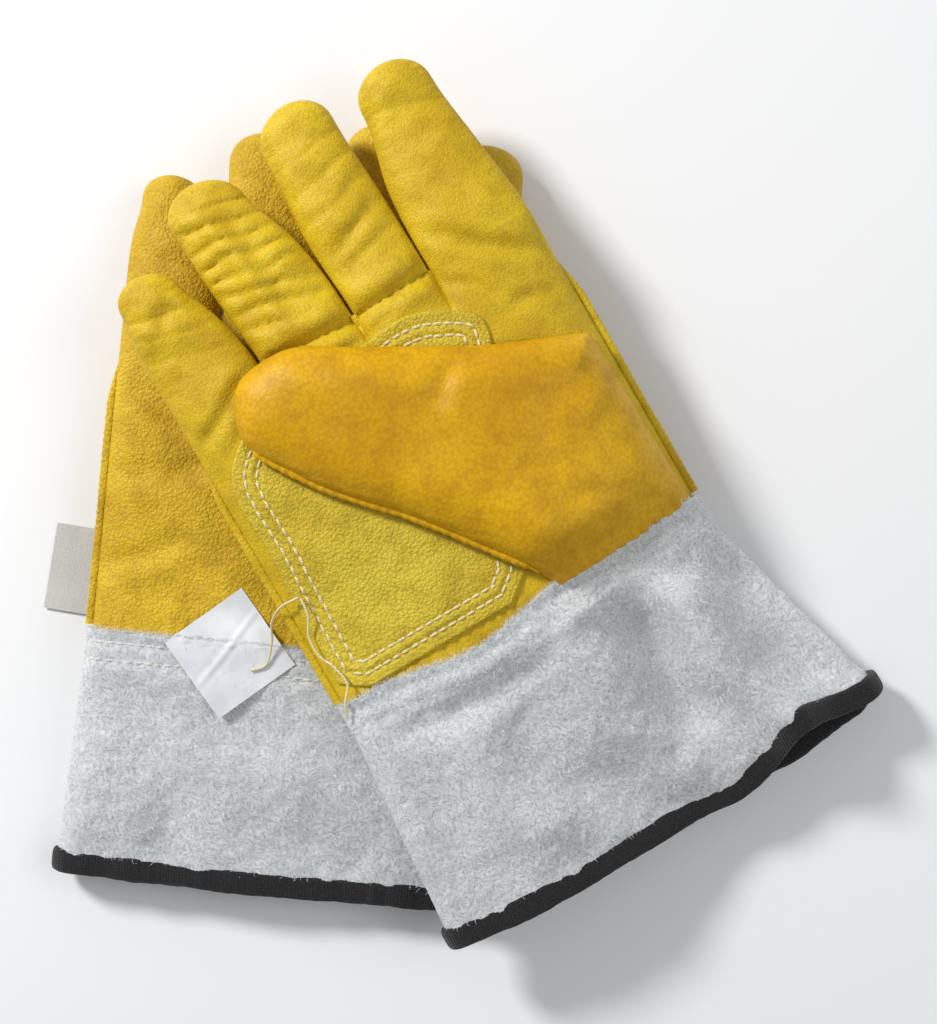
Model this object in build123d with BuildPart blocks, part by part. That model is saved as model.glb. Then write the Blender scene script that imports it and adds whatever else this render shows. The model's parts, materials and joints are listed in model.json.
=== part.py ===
from build123d import *
import os
from math import cos, sin, pi, radians

# A pair of short-cuff leather beekeeping gloves, laid flat. The left glove lies palm down with its
# thumb folded under it, and the right glove lies on it palm up, with its thumb folded over the palm.
# Each glove is a grain-leather hand (palm and back panels, two-piece fingers, wing thumb, palm patch)
# sewn into a split-leather cuff whose hem is bound with black tape.
# Glove frame: X across the hand, towards the thumb; Y from the cuff seam to the fingertips; Z up.
# Millimetres. Both gloves share one pattern, and the left one is the right one turned palm down.

# Leather and trims
LEATHER = 1.3          # grain leather of the hand
SUEDE = 1.6            # split leather of the cuff
TAPE = 0.9             # black binding tape
PATCH = 1.3            # palm patch leather
THREAD = 0.4           # height of a stitch row above its leather
ROW_WIDTH = 0.8        # width of a stitch row
GAP = 0.3              # clearance between pieces that move or only touch
LAP_FIT = 0.05         # cuff lap over the hand leather
SEAT = 0.03            # fit of a trim on its leather

# Hand
HAND_WIDTH = 138.0
HAND_LENGTH = 110.0    # cuff seam to finger roots
HAND_THICK = 14.0
LAP = 12.0             # length of hand leather inside the cuff
CROWN = 0.2            # how much thinner a cross-section is towards its sides
CORNER = 9.0           # rounding of its sides
WELT = 2.0             # how far a side seam stands out
WELT_THICK = 1.6

# Cuff
CUFF_LENGTH = 87.0
HEM_WIDTH = 165.0
HEM_OFFSET = 5.5       # the hem flares more on the thumb side
HEM_RISE = 15.0        # how far the right hem climbs over the left cuff
HEM_THICK = {"right": 15.0, "left": 12.0}
TAPE_WIDTH = 8.0
TAPE_OVERHANG = 1.0    # tape fold beyond the hem's cut edge
CUFF_ROWS = (3.0, 9.0) # stitch rows, measured down from the seam

# Fingers: edges at root, middle and shoulder, then the tip, as (x, y) points in the glove frame
FINGER_THICK = 13.4
FINGER_FILLET = 5.0
FINGERS = {
    "index": ((29.8, 68.2), (31.4, 65.0, 140), (36.8, 62.6, 166), (50.0, 177)),
    "middle": ((0.6, 28.8), (-0.4, 27.8, 140), (2.0, 26.0, 170), (14.5, 181)),
    "ring": ((-34.2, -0.6), (-36.6, -4.4, 143), (-37.2, -10.8, 164), (-25.5, 174)),
    "little": ((-68.2, -35.4), (-67.6, -40.6, 136), (-66.0, -44.6, 148), (-56.5, 156)),
}
DROOP = {  # degrees that each finger hangs below the plane of its hand
    "right": {"index": 4.0, "middle": 4.0, "ring": 3.0, "little": 0.0},
    "left": {"index": 7.0, "middle": 7.0, "ring": 7.0, "little": 7.0},
}

# Wing thumb, folded across the palm: its outline from the side seam round the tip to the cuff seam
THUMB_THICK = {"right": 12.0, "left": 8.0}
THUMB_TIP = [(33, 78), (-2, 98), (-28, 110), (-43, 107), (-47, 94), (-40, 75), (-13, 41), (9, 9)]
THUMB_ROOT = [(12, 1), (66, 1), (64, 65)]
THUMB_BEND = ((6.0, 6.0), (62.0, 72.0)) # the thumb turns on this line; its root stays on the hand
THUMB_HOLE = (49.0, 23.0, 14.0, 16.0)   # centre x, y and radii x, y of the way from hand to thumb
THUMB_WELT = 1.6

# Palm patch outline, from the cuff seam corner round the palm
PATCH_OUTLINE = [(-66, 7), (-64, 50), (-60, 86), (-50, 94), (-20, 97), (22, 98), (36, 88),
                 (32, 70), (17, 34), (6, 8)]
PATCH_BASE = [(-3, 1.0), (-57, 1.0)]
PATCH_ROWS = (4.5, 8.5)                 # insets of the two stitch rows

# Trims of the left glove
STICKER_SIDE = 31.0
STICKER_THICK = 0.3
STICKER_PLACE = (-19.5, -3.5, 50.0)     # x, y and turn in the left glove's frame
LABEL_SIZE = (28.0, 30.0)
LABEL_THICK = 0.4
LABEL_PLACE = (-74.0, 18.5, -4.0)

# Loose thread tails of the right glove's patch seam, as points in the glove frame
TAIL_RADIUS = 0.4
TAIL_SHORT = [(-62.4, 38.5, 45.3), (-69.2, 38.8, 42.5), (-76.0, 36.0, 34.5), (-80.5, 29.5, 29.3),
              (-85.5, 24.5, 28.5), (-90.0, 25.5, 28.5)]
TAIL_LONG = [(-61.8, 38.0, 45.3), (-62.6, 32.0, 44.7), (-66.6, 25.4, 43.4), (-66.8, 18.6, 43.2),
             (-63.8, 12.4, 44.2), (-62.9, 6.0, 44.4), (-66.4, 1.2, 43.6), (-69.4, -4.0, 41.6)]

# Heights of the mid-surfaces above the table
STACK_GAP = 3.8                         # the lapped cuffs hold the two hands apart
THUMB_GAP = GAP + THREAD + PATCH        # between the hand and the folded thumb
HAND_HEIGHT = {
    "left": THUMB_THICK["left"] + THUMB_GAP + HAND_THICK / 2,
    "right": THUMB_THICK["left"] + THUMB_GAP + HAND_THICK * 3 / 2 + STACK_GAP,
}
PALM_SIDE = {"right": 1, "left": -1}    # which way the palm faces along Z
PLACE = {  # where the cuff seam's middle lies on the table, and the turn about Z
    "right": ((17.5, -29.5), 30.5),
    "left": ((-60.0, -46.2), -5.5),
}
CENTRE = (-4.7, 2.55, 0.0)                # middle of the pair's box on the table

SECTION_POINTS = 9


def sag(side, y, x):
    """Height of a hand's mid-surface: the right hand hangs over the edge of the left one."""
    if side == "left":
        return HAND_HEIGHT[side]
    at_seam = 16.0 * (max(0.0, x + 15.0) / 84.0) ** 2
    at_knuckles = 4.0 * (max(0.0, x - 35.0) / 34.0) ** 2
    share = y / HAND_LENGTH
    return HAND_HEIGHT[side] - (1 - share) * at_seam - share * at_knuckles


def hem_height(side, x):
    """Height of a hem's mid-line: the right one crosses the left cuff, then reaches the table."""
    rest = HEM_THICK[side] / 2 + TAPE
    if side == "left":
        return rest
    step = min(1.0, max(0.0, (25.0 - x) / 75.0))
    return rest + HEM_RISE * step * step * (3 - 2 * step)


def section_plane(y):
    return Plane(origin=(0, y, 0), x_dir=(1, 0, 0), z_dir=(0, -1, 0))


def half_ring(y, half_width, half_thick, wall, face, height, centre=0.0):
    """Cross-section of one panel at y: a strip of that wall, arched up or down with round sides."""
    def rim(wide, thick, corner):
        top = lambda x: height(x) + face * thick * (1 - CROWN * ((x - centre) / wide) ** 2)
        left, right = centre - wide, centre + wide
        step = (wide - corner) * 2 / (SECTION_POINTS - 1)
        crown = [(left + corner + step * i, top(left + corner + step * i)) for i in range(SECTION_POINTS)]
        return left, right, top, crown

    outer = rim(half_width, half_thick, CORNER)
    inner = rim(half_width - wall, half_thick - wall, CORNER - wall / 2)
    with BuildSketch(section_plane(y)) as ring:
        with BuildLine():
            for left, right, top, crown in (outer, inner):
                Bezier((left, height(left)), (left, top(left)), crown[0])
                Spline(*crown)
                Bezier(crown[-1], (right, top(right)), (right, height(right)))
            Line((outer[0], height(outer[0])), (inner[0], height(inner[0])))
            Line((outer[1], height(outer[1])), (inner[1], height(inner[1])))
        make_face()
    return ring.sketch


def band_loft(rings):
    with BuildPart() as band:
        loft(rings, ruled=True)
    return band.part


def layer(side, low, high, wide=HAND_WIDTH / 2 + 4):
    """A sheet that follows a hand's mid-surface, between two heights above it on its palm side."""
    face = PALM_SIDE[side]
    if side == "left":
        with BuildPart() as flat:
            with BuildSketch(Plane.XY.offset(HAND_HEIGHT[side] - high)):
                with Locations((0, (HAND_LENGTH - LAP) / 2 + 2)):
                    Rectangle(2 * wide, HAND_LENGTH + LAP + 12)
            extrude(amount=high - low)
        return flat.part
    with BuildPart() as sheet:
        for y in (-LAP - 4, HAND_LENGTH + 8):
            xs = [wide * (2 * i / (SECTION_POINTS - 1) - 1) for i in range(SECTION_POINTS)]
            lower = [(x, sag(side, y, x) + face * low) for x in xs]
            upper = [(x, sag(side, y, x) + face * high) for x in xs]
            with BuildSketch(section_plane(y)):
                with BuildLine():
                    Spline(*lower)
                    Line(lower[-1], upper[-1])
                    Spline(*upper[::-1])
                    Line(upper[0], lower[0])
                make_face()
        loft(ruled=True)
    return sheet.part


def column(outline):
    """A tall prism on a plan outline, which cuts a piece out of a layer."""
    return extrude(outline, amount=120, dir=(0, 0, 1), mode=Mode.PRIVATE)


def cut_out(sheet, outline):
    """The part of a sheet that lies within a plan outline."""
    with BuildPart() as piece:
        add(sheet)
        add(column(outline), mode=Mode.INTERSECT)
    return piece.part


def hand_panel(side, face):
    """Palm or back panel, an arched sheet from inside the cuff to the finger roots."""
    return band_loft([
        half_ring(y, HAND_WIDTH / 2, HAND_THICK / 2, LEATHER, face, lambda x: sag(side, y, x))
        for y in (-LAP, HAND_LENGTH)
    ])


def thumb_hole():
    x, y, radius_x, radius_y = THUMB_HOLE
    with BuildSketch() as hole:
        with Locations((x, y)):
            Ellipse(radius_x, radius_y)
    return column(hole.sketch)


def cuff_sections(side):
    """Half width, half thickness, height and centre of the cuff's outer face at each station."""
    lap_width = HAND_WIDTH / 2 + LAP_FIT + SUEDE
    lap_thick = HAND_THICK / 2 + LAP_FIT + SUEDE
    return [
        (0.0, lap_width, lap_thick, lambda x: sag(side, 0.0, x), 0.0),
        (-LAP - 1.0, lap_width, lap_thick, lambda x: sag(side, -LAP - 1.0, x), 0.0),
        (-CUFF_LENGTH, HEM_WIDTH / 2, HEM_THICK[side] / 2, lambda x: hem_height(side, x), HEM_OFFSET),
    ]


def cuff_panel(side, face):
    """Palm-side or back-side half of the cuff, lapped over the hand and flaring to the hem."""
    return band_loft([
        half_ring(y, wide, thick, SUEDE, face, height, centre)
        for y, wide, thick, height, centre in cuff_sections(side)
    ])


def cuff_binding(side, panels):
    """Black tape folded over the hem: a ring with a groove that holds the cuff's cut edge."""
    start, end = cuff_sections(side)[1:]
    bottom = end[0] - TAPE_OVERHANG
    halves = []
    for face in (1, -1):
        rings = []
        for y in (bottom + TAPE_WIDTH, bottom):
            share = max(0.0, (y - end[0]) / (start[0] - end[0]))
            wide, thick, centre = [(1 - share) * end[i] + share * start[i] for i in (1, 2, 4)]
            height = lambda x: (1 - share) * end[3](x) + share * start[3](x)
            rings.append(half_ring(y, wide + TAPE, thick + TAPE, SUEDE + 2 * TAPE, face, height, centre))
        halves.append(band_loft(rings))
    return halves[0] + halves[1] - panels


def cuff_stitching(side):
    """Two rows of stitches through the lap, on the outer face of the cuff."""
    wide = HAND_WIDTH / 2 + LAP_FIT + SUEDE
    thick = HAND_THICK / 2 + LAP_FIT + SUEDE
    rows = []
    for down in CUFF_ROWS:
        for face in (1, -1):
            rows.append(band_loft([
                half_ring(-y, wide + THREAD, thick + THREAD, THREAD - SEAT, face,
                          lambda x: sag(side, -y, x))
                for y in (down, down + ROW_WIDTH)
            ]))
    return rows[0] + rows[1:]


def finger_outline(spec, inset=0.0, root=0.0):
    """Plan outline of one finger: up one side, round the tip and down the other."""
    (root_l, root_r), (mid_l, mid_r, mid_y), (far_l, far_r, far_y), (tip_x, tip_y) = spec
    side = [
        (root_l + inset, HAND_LENGTH + root), (mid_l + inset, mid_y),
        (far_l + 0.8 * inset, far_y - 0.5 * inset), (tip_x, tip_y - inset),
        (far_r - 0.8 * inset, far_y - 0.5 * inset), (mid_r - inset, mid_y),
        (root_r - inset, HAND_LENGTH + root),
    ]
    return [(x, y - HAND_LENGTH) for x, y in side]


def pillow(plane, points, amount, rounding):
    """A flat-bottomed pillow on a plane, with its top edge rounded."""
    with BuildPart() as body:
        with BuildSketch(plane):
            with BuildLine():
                Spline(*points)
                Line(points[-1], points[0])
            make_face()
        extrude(amount=amount)
        top = body.faces().sort_by(Axis(plane.origin, plane.z_dir))[-1]
        fillet([e for e in top.edges() if e.geom_type != GeomType.LINE], rounding)
    return body.part


def finger_half(side, name, face):
    """Front or back leather of one finger: half a pillow, hollow and open at its root."""
    spec, droop = FINGERS[name], radians(DROOP[side][name])
    half = FINGER_THICK / 2
    root_x = sum(spec[0]) / 2
    plane = Plane(
        origin=(0, HAND_LENGTH + GAP + half * sin(droop), sag(side, HAND_LENGTH, root_x)),
        x_dir=(1, 0, 0), z_dir=(0, face * sin(droop), face * cos(droop)),
    )
    outside = [(x, y * face) for x, y in finger_outline(spec)]
    inside = [(x, y * face) for x, y in finger_outline(spec, LEATHER, -2.0)]
    return (pillow(plane, outside, half, FINGER_FILLET)
            - pillow(plane, inside, half - LEATHER, FINGER_FILLET - LEATHER))


def inset_loop(points, inset):
    """Points of a closed outline, moved inwards by an inset."""
    corners = [Vector(*p) for p in points]
    before, after = corners[-1:] + corners[:-1], corners[1:] + corners[:1]
    area = sum(a.X * b.Y - b.X * a.Y for a, b in zip(corners, after))
    moved = []
    for last, here, following in zip(before, corners, after):
        way_in, way_out = (here - last).normalized(), (following - here).normalized()
        across = Vector(-way_in.Y - way_out.Y, way_in.X + way_out.X) / (1 + way_in.dot(way_out))
        moved.append(here + across * (inset if area > 0 else -inset))
    return moved


def soft_outline(curved, straight, inset):
    """A closed outline: a smooth curve through some points, then straight edges back to its start."""
    loop = inset_loop(curved + straight, inset)
    smooth, corners = loop[:len(curved)], loop[len(curved):]
    with BuildSketch() as outline:
        with BuildLine():
            Spline(*smooth)
            Polyline(smooth[-1], *corners, smooth[0])
        make_face()
    return outline.sketch


def thumb_outline(inset=0.0):
    return soft_outline(THUMB_ROOT[-1:] + THUMB_TIP, THUMB_ROOT[:-1], inset)


def thumb_levels(side):
    low = HAND_THICK / 2 + THUMB_GAP
    return low, low + THUMB_THICK[side] / 2, low + THUMB_THICK[side]


def bend_side(way):
    """Plan area on one side of the thumb's bend: its tip's (-1) or its root's (1)."""
    low, high = [Vector(*p) for p in THUMB_BEND]
    along = (high - low).normalized()
    across = Vector(along.Y, -along.X) * way
    start, end = low - along * 60 + across * GAP, high + along * 60 + across * GAP
    with BuildSketch() as area:
        with BuildLine():
            Polyline(start, end, end + across * 150, start + across * 150, close=True)
        make_face()
    return column(area.sketch)


def thumb_half(side, part, way):
    """Outer (front) or palm-facing (back) leather of the folded thumb's tip or root."""
    low, middle, high = thumb_levels(side)
    outside = (middle, high) if part == "front" else (low, middle)
    inside = (middle - 1, high - LEATHER) if part == "front" else (low + LEATHER, middle + 1)
    skin = cut_out(layer(side, *outside), thumb_outline())
    core = cut_out(layer(side, *inside), thumb_outline(LEATHER))
    area = bend_side(way)
    with BuildPart() as piece:
        add(skin)
        add(core, mode=Mode.SUBTRACT)
        add(area, mode=Mode.INTERSECT)
        if part == "back" and way > 0:
            add(thumb_hole(), mode=Mode.SUBTRACT)
    return piece.part


def thumb_welt(side):
    """Rolled seam along the thumb's lower edge, from below the tip to the bend."""
    middle = thumb_levels(side)[1]
    edge = THUMB_TIP[4:]
    out = [(x - THUMB_WELT * 0.85, y - THUMB_WELT * 0.53) for x, y in edge]
    with BuildSketch() as strip:
        with BuildLine():
            Spline(*edge)
            Line(edge[-1], out[-1])
            Spline(*out[::-1])
            Line(out[0], edge[0])
        make_face()
    bead = cut_out(layer(side, middle - WELT_THICK / 2, middle + WELT_THICK / 2),
                   strip.sketch - thumb_outline())
    area = bend_side(-1)
    with BuildPart() as welt:
        add(bead)
        add(area, mode=Mode.INTERSECT)
    return welt.part


def patch_outline(inset=0.0):
    return soft_outline(PATCH_OUTLINE, PATCH_BASE, inset)


def palm_cover(side, low, high):
    """A sheet on the palm panel's outer face, between two heights above it."""
    return band_loft([
        half_ring(y, HAND_WIDTH / 2 + high, HAND_THICK / 2 + high, high - low, PALM_SIDE[side],
                  lambda x: sag(side, y, x))
        for y in (-LAP, HAND_LENGTH)
    ])


def palm_patch(side):
    return cut_out(palm_cover(side, SEAT, PATCH), patch_outline())


def patch_stitching(side):
    """Two rows of stitches on the patch, each a narrow closed band."""
    top = palm_cover(side, PATCH + SEAT, PATCH + THREAD)
    rows = []
    for inset in PATCH_ROWS:
        band = patch_outline(inset - ROW_WIDTH / 2) - patch_outline(inset + ROW_WIDTH / 2)
        rows.append(cut_out(top, band))
    return rows[0] + rows[1:]


def side_welts(side):
    """Turned seams that stand out along both sides of the hand."""
    with BuildPart() as welts:
        for edge in (-1, 1):
            for y in (GAP, HAND_LENGTH - 1):
                with BuildSketch(section_plane(y)):
                    x = edge * HAND_WIDTH / 2
                    with Locations((x + edge * WELT / 2, sag(side, y, x))):
                        Rectangle(WELT, WELT_THICK)
            loft(ruled=True)
    return welts.part


def tail(points):
    """A loose thread end, round, along straight runs joined by arcs."""
    runs = [(Vector(b) - Vector(a)) for a, b in zip(points, points[1:])]
    radii = []
    for before, after in zip(runs, runs[1:]):
        turn = radians(before.get_angle(after))
        radii.append(0.45 * min(before.length, after.length) / (sin(turn / 2) / cos(turn / 2)))
    print("tail radii", [round(r, 1) for r in radii])
    with BuildPart() as thread:
        with BuildLine() as path:
            FilletPolyline(*points, radius=radii)
        with BuildSketch(path.line ^ 0):
            Circle(TAIL_RADIUS)
        sweep()
    length = path.wires()[0].length
    print("tail length", round(length, 1), "volume", round(thread.part.volume / TAIL_RADIUS ** 2 / pi, 1))
    return thread.part


def glove(side):
    """Every piece of one glove, in the glove frame."""
    palm, back = PALM_SIDE[side], -PALM_SIDE[side]
    cuffs = {"cuff_palm": cuff_panel(side, palm), "cuff_back": cuff_panel(side, back)}
    pieces = {
        "hand_palm": hand_panel(side, palm) - thumb_hole(),
        "hand_back": hand_panel(side, back),
        "thumb_front": thumb_half(side, "front", -1),
        "thumb_back": thumb_half(side, "back", -1),
        "thumb_root_front": thumb_half(side, "front", 1),
        "thumb_root_back": thumb_half(side, "back", 1),
        "thumb_welt": thumb_welt(side),
        "palm_patch": palm_patch(side),
        "patch_stitching": patch_stitching(side),
        "side_welts": side_welts(side),
        "cuff_binding": cuff_binding(side, list(cuffs.values())),
        "cuff_stitching": cuff_stitching(side),
    }
    for name in FINGERS:
        pieces[name + "_front"] = finger_half(side, name, palm)
        pieces[name + "_back"] = finger_half(side, name, back)
    return {f"{side}_{name}": piece for name, piece in {**cuffs, **pieces}.items()}


def left_trims():
    """Paper sticker on the left glove's back, and the sewn label that sticks out beside it."""
    x, y, turn = STICKER_PLACE
    top = HAND_HEIGHT["left"] + HAND_THICK / 2 + LAP_FIT + SUEDE + THREAD + GAP
    with BuildPart() as sticker:
        with BuildSketch(Plane.XY.offset(top)):
            with Locations(Location((x, y), turn)):
                Rectangle(STICKER_SIDE, STICKER_SIDE)
        extrude(amount=STICKER_THICK)
    x, y, turn = LABEL_PLACE
    with BuildPart() as label:
        with BuildSketch():
            with Locations(Location((x, y), turn)):
                Rectangle(*LABEL_SIZE)
        extrude(amount=LABEL_THICK)
    return {"size_sticker": sticker.part, "fabric_label": label.part}


def write(pieces, side):
    (x, y), turn = PLACE[side]
    here = Location((x - CENTRE[0], y - CENTRE[1], -CENTRE[2]), (0, 0, turn))
    for name, piece in pieces.items():
        placed = here * piece
        placed.label = name
        export_step(placed, f"parts/{name}.step")
        boxes.append(placed.bounding_box())


os.makedirs("parts", exist_ok=True)
boxes = []
write({**glove("left"), **left_trims()}, "left")
tails = {"thread_tail_short": tail(TAIL_SHORT), "thread_tail_long": tail(TAIL_LONG)}
write({**glove("right"), **tails}, "right")
low = [min(getattr(b.min, k) for b in boxes) for k in "XYZ"]
high = [max(getattr(b.max, k) for b in boxes) for k in "XYZ"]
print("box", [round(v, 1) for v in low], [round(v, 1) for v in high])
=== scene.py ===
"""Looks of a pair of leather beekeeping gloves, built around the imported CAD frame.

Shapes are worked out in each glove's own frame, in millimetres: x across the hand towards the thumb,
y from the cuff seam to the fingertips, z up from the table. place() puts them in the row frame.
"""

import json
import math
import bpy
import numpy as np
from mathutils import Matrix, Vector


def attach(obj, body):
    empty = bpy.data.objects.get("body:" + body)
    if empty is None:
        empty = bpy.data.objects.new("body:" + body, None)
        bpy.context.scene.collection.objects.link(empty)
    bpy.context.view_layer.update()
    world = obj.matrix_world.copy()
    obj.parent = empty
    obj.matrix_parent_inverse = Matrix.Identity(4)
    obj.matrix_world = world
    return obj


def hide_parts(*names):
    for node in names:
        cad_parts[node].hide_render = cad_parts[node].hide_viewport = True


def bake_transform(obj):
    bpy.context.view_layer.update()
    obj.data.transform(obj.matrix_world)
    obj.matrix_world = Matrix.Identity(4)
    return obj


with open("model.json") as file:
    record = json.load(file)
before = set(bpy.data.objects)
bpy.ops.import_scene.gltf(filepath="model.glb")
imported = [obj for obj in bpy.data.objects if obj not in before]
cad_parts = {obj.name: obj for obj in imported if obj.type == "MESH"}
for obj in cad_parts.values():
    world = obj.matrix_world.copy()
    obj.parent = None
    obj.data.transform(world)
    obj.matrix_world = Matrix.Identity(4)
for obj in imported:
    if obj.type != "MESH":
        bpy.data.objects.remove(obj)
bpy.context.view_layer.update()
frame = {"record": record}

# The gloves' pattern. The hems are a few millimetres off the CAD solids: longer right, shorter left.
HAND_HALF, HAND_LENGTH = 68.4, 110.0
CUFF_LENGTH = {"right": 90.0, "left": 84.0}
HEM_HALF = {"right": 85.5, "left": 79.5}
HEM_OFFSET = {"right": 6.5, "left": 4.5}
HEM_THICK = {"right": 15.0, "left": 12.0}
THUMB_THICK = {"right": 12.0, "left": 8.0}
MID = {"right": 34.8, "left": 17.0}
PALM = {"right": 1, "left": -1}
FINGERS = {
    "index": ((29.6, 68.2), (31.0, 65.4, 140), (36.4, 63.0, 164), (50.0, 178.0)),
    "middle": ((0.4, 29.0), (-1.0, 28.6, 140), (1.0, 27.6, 168), (15.0, 182.5)),
    "ring": ((-34.4, -0.4), (-37.0, -4.2, 143), (-38.0, -10.5, 162), (-25.5, 175.0)),
    "little": ((-68.2, -35.2), (-68.0, -40.2, 136), (-66.4, -44.2, 146), (-56.5, 157.0)),
}
DROOP = {
    "right": {"index": 4.0, "middle": 4.0, "ring": 3.0, "little": 0.0},
    "left": {"index": 7.0, "middle": 7.0, "ring": 7.0, "little": 7.0},
}
PATCH = [(-66, 7), (-64, 50), (-60, 86), (-50, 94), (-20, 97), (22, 98), (36, 88), (32, 70), (17, 34), (6, 8)]
PATCH_BASE = [(-3, 1.0), (-57, 1.0)]
THUMB = [(64, 65), (34, 77), (-2, 97), (-28, 110), (-44, 107.5), (-51, 93), (-42, 74), (-14, 40), (9, 9)]
THUMB_BASE = [(14, -1.0), (66, -1.0)]
THUMB_BEND = ((6.0, 6.0), (62.0, 72.0))
MOUTH_AT = {"right": (60.0, -88.0), "left": (5.5, -88.0)}
WALL = 1.2
THUMB_WALL = 0.9
# Rows of stitches on the lap, and how many loose suede fibres each cuff face carries
LAP_ROWS = (3.4, 9.4)
NAP_FACING_UP, NAP_FACING_DOWN = 8600, 1800
# Folds of the hand faces that show: start, end, depth (a ridge if negative) and width in mm
HAND_FOLDS = {
    ("right", True): [
        ((64, 96), (33, 122), 1.5, 2.6),
        ((48, 88), (30, 106), 0.9, 2.2),
        ((-66, 96), (-38, 112), 0.9, 2.2),
        ((-20, 99), (14, 104), 0.8, 2),
        ((66, 84), (44, 86), 0.8, 2.4),
    ],
    ("left", False): [
        ((-64, 100), (-40, 112), 1.0, 2.4),
        ((-62, 52), (-30, 60), 0.8, 4),
        ((-66, 22), (-36, 34), 0.9, 3.5),
        ((-60, 84), (-44, 70), 0.7, 3),
    ],
}
# Folds of the cuff faces that show, in the same order
CUFF_FOLDS = {
    ("right", True): [
        ((44, -16), (60, -94), -8.0, 8.5),
        ((24, -14), (32, -70), 5.6, 8.0),
        ((66, -18), (80, -84), 3.0, 6.0),
        ((40, -12), (56, -20), 2.2, 5.0),
        ((-42, -26), (-30, -78), -4.2, 10.0),
        ((-56, -18), (2, -21), 2.2, 4.5),
        ((20, -12), (6, -14), -1.6, 4.0),
        ((4, -74), (28, -80), -1.6, 6.0),
    ],
    ("left", False): [
        ((-52, -20), (-30, -60), 1.1, 7.0),
        ((-20, -28), (-24, -80), -1.3, 8.0),
        ((-64, -44), (-40, -70), -0.9, 6.0),
    ],
}


# ---------------------------------------------------------------- frames
def glove_frame(side):
    """The glove frame's origin and turn about Z, from the mount at the cuff's mouth."""
    mount = [m for m in frame["record"]["mounts"] if m["name"] == side + "_hand_opening"][0]
    turn = math.atan2(mount["axis"][0], -mount["axis"][1])
    x, y = MOUTH_AT[side]
    ox = mount["pos_m"][0] * 1000 - (x * math.cos(turn) - y * math.sin(turn))
    oy = mount["pos_m"][1] * 1000 - (x * math.sin(turn) + y * math.cos(turn))
    return ox, oy, turn


FRAMES = {side: glove_frame(side) for side in ("left", "right")}


def place(side, points):
    """Glove-frame millimetres to row-frame metres. What would sink into the table rests on it instead."""
    ox, oy, turn = FRAMES[side]
    p = np.asarray(points, float).reshape(-1, 3)
    out = np.empty_like(p)
    out[:, 0] = ox + p[:, 0] * math.cos(turn) - p[:, 1] * math.sin(turn)
    out[:, 1] = oy + p[:, 0] * math.sin(turn) + p[:, 1] * math.cos(turn)
    out[:, 2] = np.where(p[:, 2] < 1.0, 0.1 + 0.9 * np.exp((np.minimum(p[:, 2], 1.0) - 1.0) / 0.9), p[:, 2])
    return out / 1000


def step(low, high, v):
    t = np.clip((v - low) / (high - low), 0, 1)
    return t * t * (3 - 2 * t)


def lumps(x, y, size, seed):
    """Smooth random height between -1 and 1, with features of about that size."""
    gx, gy = x / size + seed * 17.3, y / size - seed * 9.1
    ix, iy = np.floor(gx), np.floor(gy)
    fx, fy = gx - ix, gy - iy
    fx, fy = fx * fx * (3 - 2 * fx), fy * fy * (3 - 2 * fy)

    def spot(i, j):
        v = np.sin(i * 127.1 + j * 311.7 + seed * 74.7) * 43758.5453
        return v - np.floor(v)

    low = spot(ix, iy) * (1 - fx) + spot(ix + 1, iy) * fx
    high = spot(ix, iy + 1) * (1 - fx) + spot(ix + 1, iy + 1) * fx
    return 2 * (low * (1 - fy) + high * fy) - 1


def fold(x, y, start, end, depth, width):
    """A soft groove (or, if depth is negative, a ridge) along a line, fading at its ends."""
    (ax, ay), (bx, by) = start, end
    length = math.hypot(bx - ax, by - ay)
    ux, uy = (bx - ax) / length, (by - ay) / length
    along = ((x - ax) * ux + (y - ay) * uy) / length
    off = (x - ax) * -uy + (y - ay) * ux
    off = off + 0.22 * width * np.sin(along * 7 + depth * 5)
    ends = step(-0.12, 0.22, along) * step(1.12, 0.78, along)
    valley = -np.exp(-(off / width) ** 2)
    shoulders = 0.35 * np.exp(-((np.abs(off) - 2 * width) / width) ** 2)
    return ends * depth * (valley + shoulders)


def wrinkles(x, y, low, high, pitch, depth, slant=0.0, seed=1):
    """Cross-wrinkles between two heights along a finger: rounded ridges and sharp valleys."""
    phase = (y + slant * x + 1.6 * lumps(x, y, 9, seed)) / pitch * math.pi
    wave = np.abs(np.sin(phase)) ** 0.6 - 0.7
    share = step(low, low + 5, y) * step(high, high - 5, y)
    return depth * wave * share * (0.65 + 0.35 * lumps(x, y, 11, seed + 3))


# ---------------------------------------------------------------- shape of the hand
def sag(side, x, y):
    """Height of a hand's mid-surface: the right hand hangs over the edge of the left one."""
    if side == "left":
        return MID[side] + 0 * x
    at_seam = 16.0 * (np.maximum(0.0, x + 15.0) / 84.0) ** 2
    at_knuckles = 4.0 * (np.maximum(0.0, x - 35.0) / 34.0) ** 2
    share = np.clip(y / HAND_LENGTH, -0.2, 1.3)
    return MID[side] - (1 - share) * at_seam - share * at_knuckles


def smooth_line(t, knots, values):
    """Values at t on a smooth curve through a few knots."""
    t, knots, values = np.asarray(t, float), np.asarray(knots, float), np.asarray(values, float)
    slopes = np.gradient(values, knots)
    i = np.clip(np.searchsorted(knots, t) - 1, 0, len(knots) - 2)
    h = knots[i + 1] - knots[i]
    u = (t - knots[i]) / h
    return ((2 * u**3 - 3 * u**2 + 1) * values[i] + (u**3 - 2 * u**2 + u) * h * slopes[i]
            + (-2 * u**3 + 3 * u**2) * values[i + 1] + (u**3 - u**2) * h * slopes[i + 1])


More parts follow.
